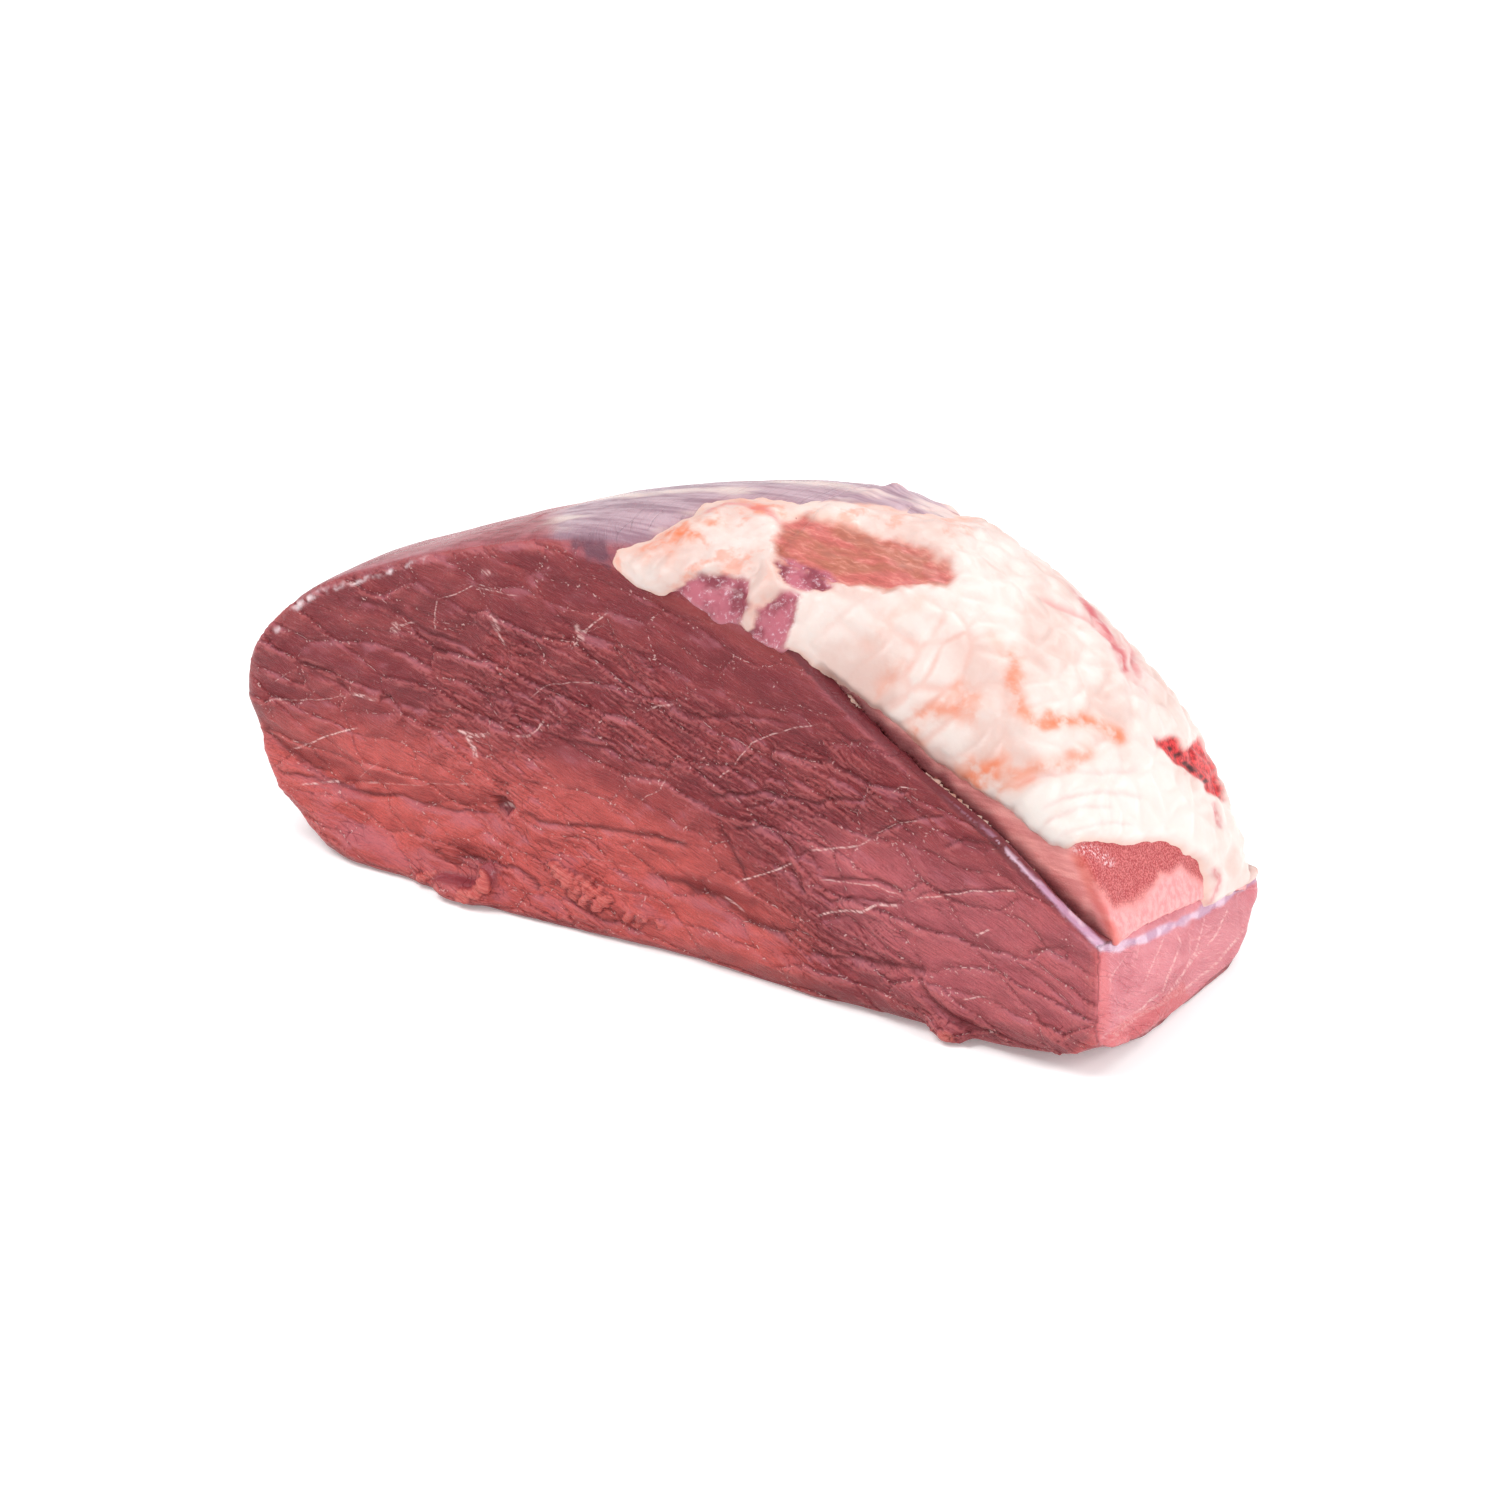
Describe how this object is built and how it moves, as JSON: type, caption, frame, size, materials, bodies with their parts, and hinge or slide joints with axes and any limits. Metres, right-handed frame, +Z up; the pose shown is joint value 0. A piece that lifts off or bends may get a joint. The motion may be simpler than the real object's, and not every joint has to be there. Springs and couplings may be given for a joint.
{
  "type": "raw buffalo topside joint",
  "caption": "Raw buffalo topside with a flat cut face, a thinner cap muscle over an open seam at one end, and a layer of fat on top.",
  "frame": {"origin": "middle of the joint's bounding box, on the surface that it rests on", "axes": "+X along the cut face towards the straight end face, +Y from the cut face back, +Z up"},
  "size_m": [0.2718, 0.1218, 0.1228],
  "materials": {
    "lean": "moist dark red raw muscle with fine grain, wrinkles and thin pale connective lines",
    "cap_muscle": "moist pinkish red raw muscle, paler where it was sliced",
    "fat_cap": "satin cream fat in soft lobules with pink and orange red stains"
  },
  "bodies": {
    "root": {"lean": "lean", "cap_muscle": "cap_muscle", "fat_cap": "fat_cap"}
  },
  "joints": []
}
